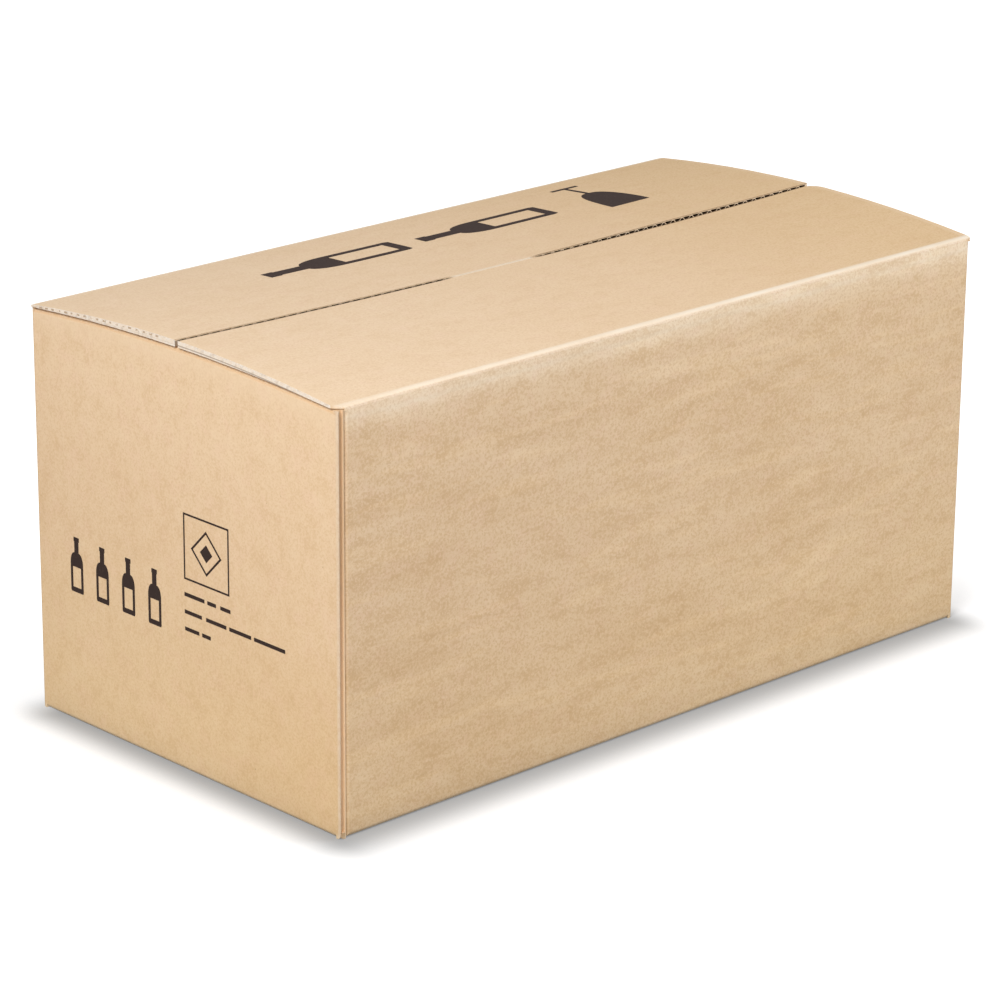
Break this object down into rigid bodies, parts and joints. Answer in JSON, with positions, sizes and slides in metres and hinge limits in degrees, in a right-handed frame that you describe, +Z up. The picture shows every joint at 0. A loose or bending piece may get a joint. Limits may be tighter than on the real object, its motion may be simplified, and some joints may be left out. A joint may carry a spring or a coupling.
{
  "type": "bottle shipping box",
  "caption": "Corrugated cardboard shipping box with hinged long top flaps, short inner flaps and stacked pleated cradles that hold bottles lying down.",
  "frame": {"origin": "middle of the underside of the closed box", "axes": "+X along the length, from the end wall with the raw glued edge to the other end; +Y across, from the front long wall to the back one; +Z up"},
  "size_m": [0.4116, 0.213, 0.204],
  "materials": {
    "outer_board": "matt kraft",
    "cradle_board": "matt kraft",
    "ink": "matt printed ink"
  },
  "bodies": {
    "box": {"box_body": "outer_board", "cradle_bottom": "cradle_board", "cradle_lower_middle": "cradle_board", "cradle_upper_middle": "cradle_board", "cradle_top": "cradle_board"},
    "front_flap": {"top_flap_front": "outer_board"},
    "back_flap": {"top_flap_back": "outer_board"}
  },
  "joints": [
    {"name": "front_flap_hinge", "type": "hinge", "parent": "box", "child": "front_flap", "pos_m": [0, -0.1065, 0.198], "axis": [1, 0, 0], "range_deg": [0, 240]},
    {"name": "back_flap_hinge", "type": "hinge", "parent": "box", "child": "back_flap", "pos_m": [0, 0.1065, 0.198], "axis": [-1, 0, 0], "range_deg": [0, 240]}
  ]
}
